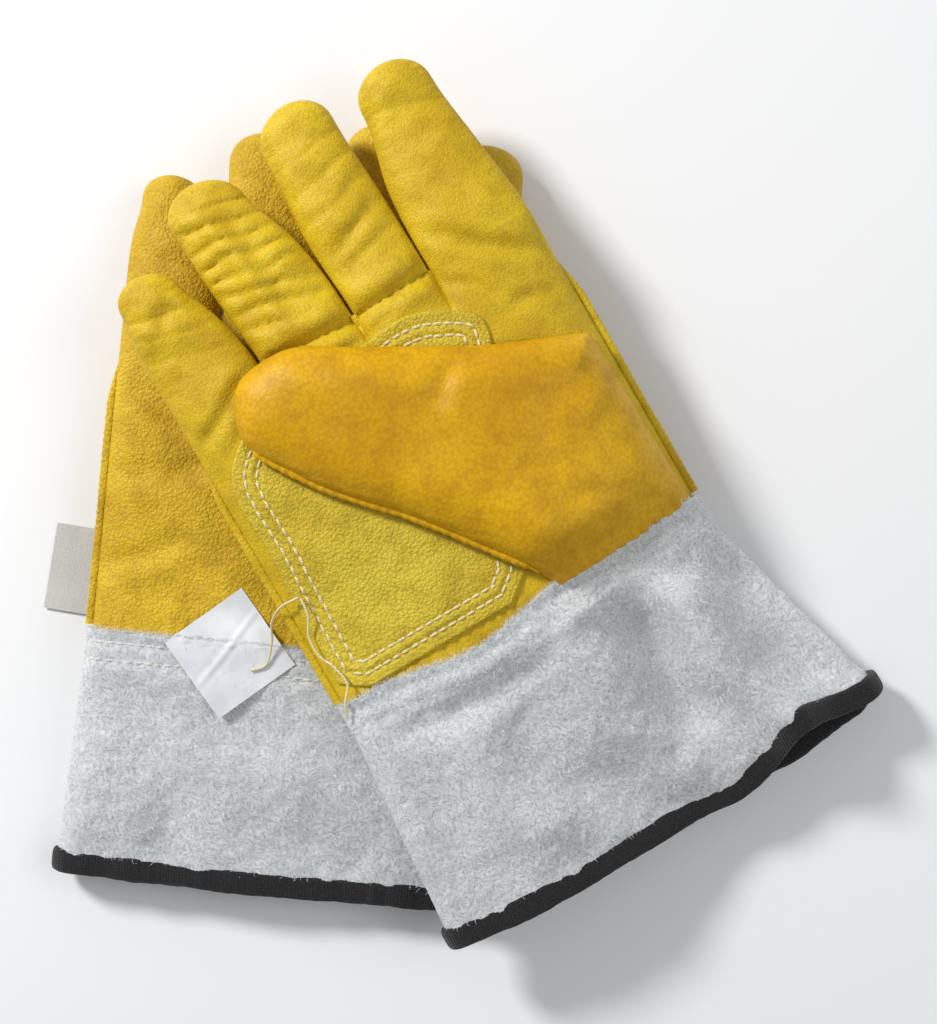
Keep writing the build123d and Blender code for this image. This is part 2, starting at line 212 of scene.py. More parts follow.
def finger_rows(name, count=84):
    """For rows up a finger: y, centre and half width. The last row is the tip's point."""
    (rl, rr), (ml, mr, my), (fl, fr, fy), (tx, ty) = FINGERS[name]
    y = HAND_LENGTH + (ty - HAND_LENGTH) * np.sin(np.linspace(0, math.pi / 2, count))
    knots = [HAND_LENGTH - 8, HAND_LENGTH, my, fy, ty]
    centre = smooth_line(y, knots, [(rl + rr) / 2, (rl + rr) / 2, (ml + mr) / 2, (fl + fr) / 2, tx])
    half = smooth_line(y, knots, [(rr - rl) / 2, (rr - rl) / 2, (mr - ml) / 2, (fr - fl) / 2, (fr - fl) / 2])
    cap = ty - 0.92 * (fr - fl) / 2
    round_off = np.clip((y - cap) / (ty - cap), 0, 1)
    return y, centre, half * np.sqrt(np.maximum(0, 1 - round_off**2.35))


ACROSS = 30
SPREAD = 0.35 * np.linspace(0, 1, ACROSS) + 0.65 * (1 - np.cos(math.pi * np.linspace(0, 1, ACROSS))) / 2


def bulge(s):
    """Thickness across a finger, from one seam (0) to the other (1)."""
    return np.maximum(0, 1 - np.abs(2 * s - 1) ** 2.3) ** 0.56


def hand_thickness(x, y):
    """Half thickness of the hand, which divides into fingers near their roots."""
    d = np.clip((HAND_HALF - np.abs(x)) / 15.0, 0, 1)
    flat = 6.9 * (1 - 0.16 * (x / HAND_HALF) ** 2) * np.sqrt(np.maximum(0, 1 - (1 - d) ** 2))
    fingers = 0 * x
    for (left, right), *_ in FINGERS.values():
        s = (x - left) / (right - left)
        fingers = np.where((s >= 0) & (s <= 1), 6.8 * bulge(np.clip(s, 0, 1)), fingers)
    share = step(82, 110, y) ** 1.3
    return flat * (1 - share) + fingers * share


def hand_relief(side, palm, x, y):
    """Folds and lumps of the hand's leather, outwards."""
    seed = {"right": 2, "left": 5}[side] + (3 if palm else 0)
    relief = 1.1 * lumps(x, y, 31, seed) + 0.55 * lumps(x, y, 13, seed + 1) + 0.16 * lumps(x, y, 5, seed + 2)
    relief = relief + 0.28 * np.sin(x * 1.35 + 2 * lumps(x, y, 12, 4)) * np.exp(-np.maximum(0, y) / 6)
    for start, end, depth, width in HAND_FOLDS.get((side, palm), []):
        relief = relief + fold(x, y, start, end, depth, width)
    return relief


def root_seam(x, y):
    """The seam where the palm meets the middle and ring fingers: a deep crease between two rolls."""
    across = step(-36, -31, x) * step(30.5, 26, x)
    off = y - HAND_LENGTH + 1.3 * np.cos(x / 17)
    puckers = 0.4 * np.sin(x * 1.5 + 3 * lumps(x, y, 7, 5)) * np.exp(-np.abs(off) / 4)
    rolls = 0.8 * np.exp(-(((off + 5.5) / 3.2) ** 2)) + 1.3 * np.exp(-(((off - 7) / 4.5) ** 2))
    return across * (rolls + puckers - 2.9 * np.exp(-np.abs(off / 2.1) ** 1.5))


def hand_height(side, palm, x, y):
    """Outer face of the palm or back leather."""
    face = PALM[side] if palm else -PALM[side]
    thick = hand_thickness(x, y)
    relief = hand_relief(side, palm, x, y) * np.clip(thick / 5.0, 0, 1)
    if palm:
        relief = relief + root_seam(x, y)
    level = sag(side, x, y)
    for (left, right), *_ in FINGERS.values():
        inside = (x >= left - 0.3) & (x <= right + 0.3)
        flat = sag(side, np.full_like(x, (left + right) / 2), y)
        level = np.where(inside, level + (flat - level) * step(90, 112, y), level)
    return level + face * (thick + relief)


def finger_relief(side, name, palm, x, y, s):
    seed = {"index": 1, "middle": 2, "ring": 3, "little": 4}[name] + (7 if side == "left" else 0)
    relief = 1.1 * lumps(x, y, 17, seed) + 0.5 * lumps(x, y, 7, seed + 2) + 0.14 * lumps(x, y, 3, seed + 4)
    if side == "right" and palm:
        if name == "ring":
            relief = relief + wrinkles(x, y, 113, 168, 6.4, 2.3, 0.22, 3)
            relief = relief + fold(x, y, (-20, 116), (-27, 164), -1.8, 3.2)
        if name == "middle":
            relief = relief + wrinkles(x, y, 118, 168, 9.5, 1.3, -0.2, 5)
            relief = relief + fold(x, y, (3, 128), (26, 140), 0.8, 2.2)
        if name == "index":
            relief = relief + wrinkles(x, y, 136, 170, 11.0, 0.6, 0.3, 7)
            relief = relief + fold(x, y, (64, 96), (33, 122), 1.5, 2.6)
        if name == "little":
            relief = relief + wrinkles(x, y, 114, 150, 8.0, 0.8, 0.25, 9)
            relief = relief + fold(x, y, (-58, 138), (-48, 142), 1.4, 3.2)
    else:
        relief = relief + wrinkles(x, y, 112, 165, 8.5, 0.7, 0.15, seed)
    pucker = np.minimum(s, 1 - s) * 30
    return relief + 0.3 * np.sin(y * 2.1 + seed) * np.exp(-(pucker / 3.0) ** 1.5)


def finger_surface(side, name, palm):
    """Rows of points on one face of a finger, from its root to its tip."""
    face = PALM[side] if palm else -PALM[side]
    y, centre, half = finger_rows(name)
    (left, right), (ml, mr, _), *_ = FINGERS[name]
    s, Y = np.meshgrid(SPREAD, y)
    X = centre[:, None] + half[:, None] * (2 * s - 1)
    full = smooth_line(y, [HAND_LENGTH, 130, 200], [(right - left) / 2, (mr - ml) / 2, (mr - ml) / 2 - 1])
    depth = 6.8 * np.clip(half / full, 0, 1) ** 0.62
    thick = depth[:, None] * bulge(s)
    relief = finger_relief(side, name, palm, X, Y, s)
    root = hand_relief(side, palm, X, Y)
    share = step(HAND_LENGTH, HAND_LENGTH + 12, Y)
    tucked = palm and name in ("middle", "ring")
    relief = root * (1 - share) + relief * share
    if tucked:
        relief = relief + root_seam(X, Y)
    relief = relief * np.clip(thick / 4.5, 0, 1)
    level = sag(side, np.full_like(X, (left + right) / 2), Y * 0 + HAND_LENGTH)
    droop = math.tan(math.radians(DROOP[side][name]))
    level = level - droop * (Y - HAND_LENGTH) * step(HAND_LENGTH - 2, HAND_LENGTH + 14, Y)
    return np.stack([X, Y, level + face * (thick + relief)], -1)


# ---------------------------------------------------------------- shape of the cuff
def hem_level(side, x):
    rest = HEM_THICK[side] / 2 + 0.9
    if side == "left":
        return rest + 0 * x
    rise = np.clip((25.0 - x) / 75.0, 0, 1)
    return rest + 15.0 * rise * rise * (3 - 2 * rise)


def hem_line(side, palm, x):
    """How far down the cuff its hem lies: wavy, and longer on the layer that gapes."""
    wave = 4.6 * (1 - ((x - HEM_OFFSET[side]) / HEM_HALF[side]) ** 2) + 0.9 * lumps(x, 0 * x, 24, 3)
    if side == "right" and not palm:
        wave = wave + 4.0 * step(15, 55, x) * step(92, 80, x)
    if side == "right" and palm:  # the upper layer is pushed up behind the gape
        wave = wave - 6.5 * np.exp(-(((x - 61) / 12.5) ** 2)) + 2.0 * np.exp(-(((x - 30) / 14) ** 2))
    return -CUFF_LENGTH[side] + 0.8 - wave * (1.0 if side == "right" else 0.3)


def lap_edge(side, palm, x):
    """Height of the cuff's top edge. The upper one sags beside the thumb."""
    if side == "right" and palm:
        return -5.5 * np.exp(-(((x + 20) / 23) ** 2))
    return 0 * x


def cuff_relief(side, palm, x, y):
    seed = {"right": 11, "left": 15}[side] + (2 if palm else 0)
    down = step(-8, -40, y)
    relief = down * (2.4 * lumps(x, y, 30, seed) + 1.3 * lumps(x, y * 0.7, 13, seed + 1))
    relief = relief + 0.34 * lumps(x, y, 4, seed + 2) + 0.24 * lumps(x, y, 2.3, seed + 3)
    for start, end, depth, width in CUFF_FOLDS.get((side, palm), []):
        relief = relief + fold(x, y, start, end, depth, width)
    below = y - lap_edge(side, palm, x)
    # the cut edge curls up
    relief = relief + 0.4 + 0.6 * step(-2.6, -0.6, below) * (1 + 0.5 * lumps(x, 0 * y, 5, 6))
    for row in (3.4, 9.4):  # the stitch rows pull the lap in
        relief = relief - 0.5 * np.exp(-(((below + row) / 1.5) ** 2))
    return relief


def cuff_share(side, y):
    """How far down the flare a height is: 0 at the lap's lower edge, 1 at the hem."""
    return np.clip((-13.0 - y) / (CUFF_LENGTH[side] - 13.0), 0, 1.1)


def cuff_height(side, palm, x, y, shrink=0.0):
    """Outer face of the cuff's palm or back leather."""
    face = PALM[side] if palm else -PALM[side]
    share = cuff_share(side, y)
    half = 70.6 * (1 - share) + HEM_HALF[side] * share - shrink
    centre = HEM_OFFSET[side] * share
    thick = 8.6 * (1 - share) + HEM_THICK[side] / 2 * share - shrink
    if side == "right":  # the mouth gapes on its thumb side
        thick = thick + 3.2 * step(0.55, 1.0, share) * step(20, 55, x) * (1 if palm else 0)
    level = sag(side, x, np.maximum(y, -13.0)) * (1 - share) + hem_level(side, x) * share
    d = np.clip((half - np.abs(x - centre)) / 9.0, 0, 1)
    up = thick * (1 - 0.2 * ((x - centre) / half) ** 2) * np.sqrt(np.maximum(0, 1 - (1 - d) ** 2))
    loose = 0.35 if face < 0 else 1.0  # the layer that lies on the table or the other glove is flatter
    return level + face * (up + loose * cuff_relief(side, palm, x, y) * np.clip(up / 6, 0, 1))


def cuff_across(side, q, y):
    """x of a place q, -1 to 1, across the cuff at a height."""
    share = cuff_share(side, y)
    return HEM_OFFSET[side] * share + q * (70.6 * (1 - share) + HEM_HALF[side] * share)


def cuff_columns(count=110, corner=12):
    """Places across the cuff, from -1 to 1, close together round its sides."""
    turn = 0.115 * (1 - np.cos(np.linspace(0, math.pi / 2, corner)))
    middle = np.linspace(-1 + 0.115, 1 - 0.115, count)
    return np.concatenate([-1 + turn[:-1], middle, 1 - turn[:-1][::-1]])


def cuff_surface(side, palm):
    rows = np.linspace(0, 1, 84)
    q, r = np.meshgrid(cuff_columns(), rows)
    top = 0.6 + 0.35 * lumps(q * 60, r * 0, 7, 9) + lap_edge(side, palm, q * 70.6)
    hem = hem_line(side, palm, HEM_OFFSET[side] + q * HEM_HALF[side])
    Y = top + (hem - top) * r
    X = cuff_across(side, q, Y)
    return np.stack([X, Y, cuff_height(side, palm, X, Y)], -1)


# ---------------------------------------------------------------- outlines
def outline(curved, straight, spacing=1.0):
    """A closed outline: a smooth curve through some points, then straight edges, evenly spaced."""
    pts = np.array(curved, float)
    t = np.concatenate([[0], np.cumsum(np.hypot(*np.diff(pts, axis=0).T))])
    fine = np.linspace(0, t[-1], int(t[-1] / 0.5))
    curve = np.stack([smooth_line(fine, t, pts[:, 0]), smooth_line(fine, t, pts[:, 1])], -1)
    loop = np.concatenate([curve, np.array(straight, float), curve[:1]])
    t = np.concatenate([[0], np.cumsum(np.hypot(*np.diff(loop, axis=0).T))])
    at = np.linspace(0, t[-1], int(t[-1] / spacing) + 1)[:-1]
    return np.stack([np.interp(at, t, loop[:, 0]), np.interp(at, t, loop[:, 1])], -1)


def edge_distance(loop, x, y):
    """Distance from points to a closed outline."""
    p = np.stack([x.ravel(), y.ravel()], -1)
    a, b = loop, np.roll(loop, -1, 0)
    best = np.full(len(p), 1e9)
    for (ax, ay), (bx, by) in zip(a, b):
        length = max(1e-9, (bx - ax) ** 2 + (by - ay) ** 2)
        t = np.clip(((p[:, 0] - ax) * (bx - ax) + (p[:, 1] - ay) * (by - ay)) / length, 0, 1)
        best = np.minimum(best, np.hypot(p[:, 0] - ax - t * (bx - ax), p[:, 1] - ay - t * (by - ay)))
    return best.reshape(x.shape)


def inset(loop, amount):
    """A closed outline moved inwards, for an outline without tight corners."""
    ahead = np.roll(loop, -2, 0) - np.roll(loop, 2, 0)
    ahead /= np.hypot(ahead[:, 0], ahead[:, 1])[:, None]
    area = np.sum(loop[:, 0] * np.roll(loop[:, 1], -1) - np.roll(loop[:, 0], -1) * loop[:, 1])
    moved = loop + np.sign(area) * amount * np.stack([-ahead[:, 1], ahead[:, 0]], -1)
    kept = edge_distance(loop, moved[:, 0], moved[:, 1]) > abs(amount) * 0.93
    return moved[kept]


def star_grid(loop, centre, rings):
    """A fan of rings from an outline to its centre, closer together at the edge."""
    r = np.concatenate([1 - np.linspace(0, 1, rings)[:-1] ** 1.5, [0.0]])
    c = np.array(centre)
    return c + (loop[None, :, :] - c) * r[:, None, None]


def patch_height(side, loop, x, y):
    """Outer face of the palm patch, drawn down along its stitch rows."""
    d = edge_distance(loop, x, y)
    base = hand_height(side, True, x, y)
    rows = sum(0.42 * np.exp(-(((d - at) / 1.15) ** 2)) for at in (4.5, 8.5))
    swell = 0.5 * np.exp(-(((d - 6.5) / 1.2) ** 2)) + 0.35 * step(9, 14, d)
    puckers = 0.16 * np.sin(x * 1.7 + y * 1.5) * np.exp(-(((d - 6.5) / 4.5) ** 2))
    edge = 1.3 * np.clip(1 - (1 - np.clip(d / 0.8, 0, 1)) ** 2, 0.25, 1)
    return base + PALM[side] * (edge - rows + swell * 0.5 + puckers)


def thumb_heights(side, loop, x, y):
    """The folded thumb's outer and inner faces."""
    face, d = PALM[side], edge_distance(loop, x, y)
    full = THUMB_THICK[side] - 1.0
    round_off = np.clip(d / 17.0, 0, 1)
    swell = full * (1 - (1 - round_off) ** 2.3) ** 0.55
    swell = swell * (1 - 0.45 * step(20, 0, y) * step(-5, 20, x))
    clear = 0.35 + 2.2 * step(66, 40, x) * step(0, 14, y)
    floor = hand_height(side, True, x, np.minimum(y, 82.0)) + face * clear
    relief = 0.5 * lumps(x, y, 27, 21) + 0.25 * lumps(x, y, 11, 22)
    relief = relief + fold(x, y, (22, 78), (6, 70), 1.1, 3.5) + fold(x, y, (56, 58), (30, 40), 0.8, 6.0)
    relief = relief + fold(x, y, (60, 12), (26, 22), 0.7, 4.0)
    relief = relief + 0.25 * np.sin((x + y) * 1.1 + 2 * lumps(x, y, 9, 4)) * np.exp(-(d / 3.0) ** 2)
    top = floor + face * (swell + relief * np.clip(swell / 5, 0, 1) + 0.02)
    return top, floor


# ---------------------------------------------------------------- meshes
def grid_faces(rows, cols, flip, closed=False):
    faces = []
    for i in range(rows - 1):
        for j in range(cols if closed else cols - 1):
            k = (j + 1) % cols
            quad = (i * cols + j, i * cols + k, (i + 1) * cols + k, (i + 1) * cols + j)
            faces.append(quad[::-1] if flip else quad)
    return faces


def piece(name, side, points, faces, material, nodes=(), wall=0.0, weld=True, sharp=55):
    """A named mesh object in place, with its glove-frame position stored for its material."""
    points = np.asarray(points, float).reshape(-1, 3)
    mesh = bpy.data.meshes.new(name)
    mesh.from_pydata(place(side, points).tolist(), [], faces)
    rest = mesh.attributes.new("rest", "FLOAT_VECTOR", "POINT")
    rest.data.foreach_set("vector", points.astype(np.float32).ravel())
    obj = bpy.data.objects.new(name, mesh)
    bpy.context.scene.collection.objects.link(obj)
    if weld:
        join = obj.modifiers.new("weld", "WELD")
        join.merge_threshold = 2e-6
    if wall:
        solid = obj.modifiers.new("wall", "SOLIDIFY")
        solid.thickness, solid.offset, solid.use_even_offset = wall / 1000, -1, False
    if weld or wall:
        graph = bpy.context.evaluated_depsgraph_get()
        final = bpy.data.meshes.new_from_object(obj.evaluated_get(graph))
        obj.modifiers.clear()
        obj.data = final
    obj.data.polygons.foreach_set("use_smooth", [True] * len(obj.data.polygons))
    obj.data.set_sharp_from_angle(angle=math.radians(sharp))
    obj.data.materials.clear()
    obj.data.materials.append(material)
    if nodes:
        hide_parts(*nodes)
    return obj


def tube(path, up, width, height, sides=10, closed=False, power=1.0):
    """Points and faces of a tube with an oval section along a path."""
    path, up = np.asarray(path, float), np.asarray(up, float)
    if closed:
        along = np.roll(path, -1, 0) - np.roll(path, 1, 0)
    else:
        along = np.gradient(path, axis=0)
    along /= np.maximum(1e-9, np.linalg.norm(along, axis=1))[:, None]
    across = np.cross(along, up)
    across /= np.maximum(1e-9, np.linalg.norm(across, axis=1))[:, None]
    normal = np.cross(across, along)
    a = np.linspace(0, 2 * math.pi, sides, endpoint=False)
    c, s = np.sign(np.cos(a)) * np.abs(np.cos(a)) ** power, np.sign(np.sin(a)) * np.abs(np.sin(a)) ** power
    width = np.broadcast_to(width, len(path))[:, None, None]
    height = np.broadcast_to(height, len(path))[:, None, None]
    pts = (path[:, None, :] + across[:, None, :] * c[None, :, None] * width
           + normal[:, None, :] * s[None, :, None] * height)
    rows = len(path)
    if closed:
        pts = np.concatenate([pts, pts[:1]])
        return pts.reshape(-1, 3), grid_faces(rows + 1, sides, False, True)
    faces = grid_faces(rows, sides, False, True)
    faces.append(tuple(range(sides)))
    faces.append(tuple((rows - 1) * sides + j for j in range(sides))[::-1])
    return pts.reshape(-1, 3), faces


def stitches(paths, face, pitch, length, radius, rise):
    """Separate stitches along paths: each one comes up out of the leather and goes back down."""
    points, faces, count = [], [], 0
    for path in paths:
        path = np.asarray(path, float)
        t = np.concatenate([[0], np.cumsum(np.linalg.norm(np.diff(path, axis=0), axis=1))])
        for k in range(int(t[-1] / pitch)):
            wander = 0.12 * math.sin(k * 2.7)
            at = np.clip(pitch * k + (pitch - length) / 2 + np.linspace(0, length, 8), 0, t[-1])
            line = np.stack([np.interp(at, t, path[:, i]) for i in range(3)], -1)
            lift = np.sin(np.linspace(0.02, math.pi - 0.02, 8)) ** 0.55
            line[:, 2] += face * (rise * lift - 0.75 * radius)
            line[:, 0] += wander
            fat = radius * (0.55 + 0.45 * lift)
            p, f = tube(line, np.tile([0, 0, float(face)], (8, 1)), fat * 1.15, fat, 7)
            points.append(p)
            faces += [tuple(i + count for i in q) for q in f]
            count += len(p)
    return np.concatenate(points), faces


# ---------------------------------------------------------------- materials
class Shader:
    """A material's node tree, with one line per node."""

    def __init__(self, name):
        self.material = bpy.data.materials.new(name)
        self.material.use_nodes = True
        self.tree = self.material.node_tree
        self.surface = self.tree.nodes["Principled BSDF"]

    def add(self, kind, links=None, **settings):
        made = self.tree.nodes.new("ShaderNode" + kind)
        for key, value in settings.items():
            setattr(made, key, value)
        for key, value in (links or {}).items():
            socket = made.inputs[key]
            if isinstance(value, bpy.types.NodeSocket):
                self.tree.links.new(value, socket)
            else:
                socket.default_value = value
        return made.outputs

    def rest(self, stretch=(1.0, 1.0, 1.0)):
        at = self.add("Attribute", attribute_name="rest")["Vector"]
        return self.add("Mapping", {"Vector": at, "Scale": stretch})["Vector"]

    def noise(self, at, scale, detail=3.0, rough=0.55):
        links = {"Vector": at, "Scale": scale, "Detail": detail, "Roughness": rough}
        return self.add("TexNoise", links)["Fac"]

    def ramp(self, value, low, high, dark=0.0, light=1.0):
        return self.add("MapRange", {"Value": value, "From Min": low, "From Max": high,
                                     "To Min": dark, "To Max": light})["Result"]

    def math(self, kind, a, b):
        return self.add("Math", {0: a, 1: b}, operation=kind)["Value"]

    def blend(self, share, a, b, kind="MIX"):
        return self.add("Mix", {0: share, 6: a, 7: b}, data_type="RGBA", blend_type=kind)[2]

    def put(self, **sockets):
        for key, value in sockets.items():
            socket = self.surface.inputs[key.replace("_", " ")]
            if isinstance(value, bpy.types.NodeSocket):
                self.tree.links.new(value, socket)
            else:
                socket.default_value = value

    def bump(self, height, strength, distance_mm):
        links = {"Height": height, "Strength": strength, "Distance": distance_mm / 1000}
        normal = self.add("Bump", links)["Normal"]
        self.put(Normal=normal)


def rgb(r, g, b):
    """Screen colour, 0 to 255, as scene colour."""
    return tuple(((v / 255 + 0.055) / 1.055) ** 2.4 if v > 10 else v / 3294.6 for v in (r, g, b)) + (1.0,)


def leather(name, light, dark, deep, pebble, strength, rough):
    """Grain leather: soft pebbles and pores, colour that is deeper in places, painted shade darkening the
    pebble valleys, and paler specks where the fine grain stands highest.
    """
    s = Shader(name)
    at = s.rest()
    warp = s.add("TexNoise", {"Vector": at, "Scale": 0.5, "Detail": 2.0})["Color"]
    bent = s.add("VectorMath", {0: at, 1: s.add("VectorMath", {0: warp, 3: 0.6}, operation="SCALE")[0]},
                 operation="ADD")[0]
    cells = s.add("TexVoronoi", {"Vector": bent, "Scale": 1.0 / pebble, "Smoothness": 0.22},
                  feature="SMOOTH_F1")["Distance"]
    small = s.add("TexVoronoi", {"Vector": bent, "Scale": 2.3 / pebble, "Smoothness": 0.3},
                  feature="SMOOTH_F1")["Distance"]
    fine = s.noise(at, 1.1, 5.0, 0.62)
    broad = s.noise(at, 0.022, 2.0, 0.5)
    mid = s.noise(at, 0.11, 3.0, 0.55)
    tone = s.blend(s.ramp(broad, 0.35, 0.68), light, dark)
    tone = s.blend(s.ramp(mid, 0.45, 0.8, 0.0, 0.5), tone, deep)
    # painted shade: the colour sinks towards the deep tone in the pebble valleys, where the cell distance is
    # high and the bump is lowest
    tone = s.blend(s.ramp(cells, 0.35, 0.75, 0.0, 0.28), tone, deep)
    # paler where the fine noise is high, the same noise that raises the bump there
    tone = s.blend(s.ramp(fine, 0.55, 0.85, 0.0, 0.25), tone, light)
    height = s.math("ADD", s.math("MULTIPLY", cells, -1.0), s.math("MULTIPLY", small, -0.4))
    height = s.math("ADD", height, s.math("MULTIPLY", fine, 0.3))
    s.put(Base_Color=tone, Roughness=s.ramp(mid, 0.3, 0.8, rough - 0.06, rough + 0.12),
          Specular_IOR_Level=0.28)
    s.bump(height, strength, 0.62)
    return s.material


def suede(name, light, dark):
    """Split leather: a matted nap of short pale fibres, brushed this way and that over a greyer base."""
    s = Shader(name)
    at = s.rest()
    warp = s.add("TexNoise", {"Vector": at, "Scale": 0.12, "Detail": 3.0})["Color"]
    bent = s.add("VectorMath", {0: at, 1: s.add("VectorMath", {0: warp, 3: 9.0}, operation="SCALE")[0]},
                 operation="ADD")[0]
    combed = s.add("Mapping", {"Vector": bent, "Scale": (1.6, 0.8, 1.2)})["Vector"]
    fibres = s.noise(combed, 2.2, 5.0, 0.8)
    tufts = s.noise(bent, 1.0, 6.0, 0.75)
    cloud = s.noise(at, 0.05, 3.0, 0.6)
    tone = s.blend(s.ramp(tufts, 0.4, 0.56), dark, light)
    tone = s.blend(s.ramp(cloud, 0.5, 0.8, 0.0, 0.35), tone, dark)
    tone = s.blend(s.ramp(fibres, 0.5, 0.66, 0.0, 0.7), tone, rgb(254, 255, 255))
    height = s.math("ADD", s.math("MULTIPLY", fibres, 0.8), tufts)
    s.put(Base_Color=tone, Roughness=s.ramp(fibres, 0.2, 0.8, 0.9, 1.0), Specular_IOR_Level=0.1,
          Sheen_Weight=0.4, Sheen_Roughness=0.6)
    s.bump(height, 0.7, 1.4)
    return s.material


def woven(name, light, dark, pitch, strength, sheen=0.2):
    """Woven tape or cloth: crossing threads with a little fuzz."""
    s = Shader(name)
    at = s.rest()
    warp = s.add("TexWave", {"Vector": at, "Scale": 0.33 / pitch, "Distortion": 0.8, "Detail": 2.0},
                 bands_direction="X")["Fac"]
    weft = s.add("TexWave", {"Vector": at, "Scale": 0.33 / pitch, "Distortion": 0.8, "Detail": 2.0},
                 bands_direction="Y")["Fac"]
    weave = s.math("MAXIMUM", warp, weft)
    fuzz = s.noise(at, 3.0, 4.0, 0.7)
    tone = s.blend(s.ramp(fuzz, 0.45, 0.8), dark, light)
    s.put(Base_Color=tone, Roughness=s.ramp(fuzz, 0.3, 0.7, 0.82, 0.98), Specular_IOR_Level=0.2,
          Sheen_Weight=sheen, Sheen_Roughness=0.5)
    s.bump(s.math("ADD", weave, s.math("MULTIPLY", fuzz, 0.8)), strength, 0.25)
    return s.material


def thread(name, light, dark):
    """Twisted sewing thread."""
    s = Shader(name)
    at = s.rest()
    twist = s.add("TexWave", {"Vector": at, "Scale": 0.75, "Distortion": 1.0},
                  bands_direction="DIAGONAL")["Fac"]
    fuzz = s.noise(at, 4.0, 3.0, 0.7)
    s.put(Base_Color=s.blend(s.ramp(twist, 0.2, 0.9), dark, light),
          Roughness=s.ramp(fuzz, 0.3, 0.7, 0.7, 0.9),
          Sheen_Weight=0.3, Specular_IOR_Level=0.25)
    s.bump(s.math("ADD", twist, fuzz), 0.5, 0.12)
    return s.material


def paper(name, light, dark):
    """Blank matt paper, faintly mottled and creased."""
    s = Shader(name)
    at = s.rest()
    mottle, crease = s.noise(at, 0.12, 3.0, 0.6), s.noise(at, 1.6, 4.0, 0.6)
    s.put(Base_Color=s.blend(s.ramp(mottle, 0.3, 0.75), light, dark),
          Roughness=s.ramp(crease, 0.3, 0.7, 0.62, 0.8),
          Specular_IOR_Level=0.35)
    s.bump(crease, 0.25, 0.12)
    return s.material


MATERIALS = {
    "right_leather": leather("yellow_grain_leather",
                             rgb(224, 192, 34), rgb(206, 170, 22), rgb(156, 116, 4), 0.8, 0.36, 0.5),
    "thumb_leather": leather("golden_thumb_leather",
                             rgb(226, 176, 4), rgb(208, 154, 2), rgb(160, 108, 1), 1.3, 0.2, 0.5),
    "left_leather": leather("pebbled_golden_leather",
                             rgb(224, 188, 38), rgb(202, 162, 22), rgb(146, 106, 6), 1.05, 0.6, 0.52),
    "patch_leather": leather("dull_patch_leather",
                             rgb(222, 198, 60), rgb(204, 176, 42), rgb(152, 122, 14), 1.05, 0.7, 0.56),
    "grey_suede": suede("grey_split_leather", rgb(253, 255, 255), rgb(190, 196, 198)),
    "black_tape": woven("black_binding_tape", rgb(80, 78, 76), rgb(22, 21, 21), 1.0, 1.0),
    "thread": thread("cream_thread", rgb(246, 236, 196), rgb(206, 188, 130)),
    "cuff_thread": thread("pale_cuff_thread", rgb(240, 240, 232), rgb(196, 196, 184)),
    "grey_thread": thread("grey_thread", rgb(176, 176, 172), rgb(120, 120, 116)),
    "nap": paper("pale_nap_fibre", rgb(254, 255, 255), rgb(224, 229, 231)),
    "sticker_paper": paper("blank_sticker_paper", rgb(232, 235, 237), rgb(214, 218, 221)),
    "label_cloth": woven("blank_label_cloth", rgb(240, 240, 236), rgb(206, 206, 200), 0.5, 0.5, 0.1),
}


# ---------------------------------------------------------------- the gloves' pieces
def hand_columns():
    columns = []
    for left, right in [FINGERS[n][0] for n in ("little", "ring", "middle", "index")]:
        columns.append(left + (right - left) * SPREAD)
    return np.concatenate(columns)


def make_hand(side, palm):
    columns = hand_columns()
    y = np.concatenate([np.linspace(-11, 86, 68), np.linspace(87.2, HAND_LENGTH, 26)])
    X, Y = np.meshgrid(columns, y)
    Z = hand_height(side, palm, X, Y)
    up = (PALM[side] if palm else -PALM[side]) > 0
    name = "palm" if palm else "back"
    return piece(f"{side}_{name}_leather", side, np.stack([X, Y, Z], -1),
                 grid_faces(len(y), len(columns), not up),
                 MATERIALS[side + "_leather"], [f"{side}_hand_{name}"], WALL)


def make_finger(side, name, palm):
    points = finger_surface(side, name, palm)
    up = (PALM[side] if palm else -PALM[side]) > 0
    part = "front" if palm else "back"
    return piece(f"{side}_{name}_{part}_leather", side, points, grid_faces(*points.shape[:2], not up),
                 MATERIALS[side + "_leather"], [f"{side}_{name}_{part}"], WALL)


def make_cuff(side, palm):
    points = cuff_surface(side, palm)
    up = (PALM[side] if palm else -PALM[side]) > 0
    name = "palm" if palm else "back"
    return piece(f"{side}_cuff_{name}_suede", side, points, grid_faces(*points.shape[:2], up),
                 MATERIALS["grey_suede"], [f"{side}_cuff_{name}"], 1.5)


def hem_ring(side):
    """The closed path of the hem's edge, palm layer then back layer."""
    q = cuff_columns(330, 20)
    rings = []
    for palm, order in ((True, slice(None)), (False, slice(None, None, -1))):
        y = hem_line(side, palm, HEM_OFFSET[side] + q * HEM_HALF[side]) + 2.6
        x = cuff_across(side, q, y)
        z = cuff_height(side, palm, x, y) - (PALM[side] if palm else -PALM[side]) * 0.85
        rings.append(np.stack([x, y, z], -1)[order][:-1])
    return np.concatenate(rings)


def make_binding(side):
    """Black tape folded over the hem: flat, soft-edged and a little uneven."""
    ring = hem_ring(side)
    for _ in range(8):
        ring = (np.roll(ring, 1, 0) + 2 * ring + np.roll(ring, -1, 0)) / 4
    k = np.arange(len(ring))
    uneven = 0.3 * lumps(k, 0 * k, 23, 6) + 0.16 * lumps(k, 0 * k, 5, 7)
    ribs = 0.07 * np.sin(k * 2.1) + 0.06 * lumps(k, 0 * k, 2, 8)
    down = np.tile([0.0, 1.0, 0.0], (len(ring), 1))
    points, faces = tube(ring, down, 1.85 + ribs, 4.1 + uneven, 24, True, 0.62)
    return piece(f"{side}_hem_binding_tape", side, points, faces, MATERIALS["black_tape"],
                 [f"{side}_cuff_binding"])


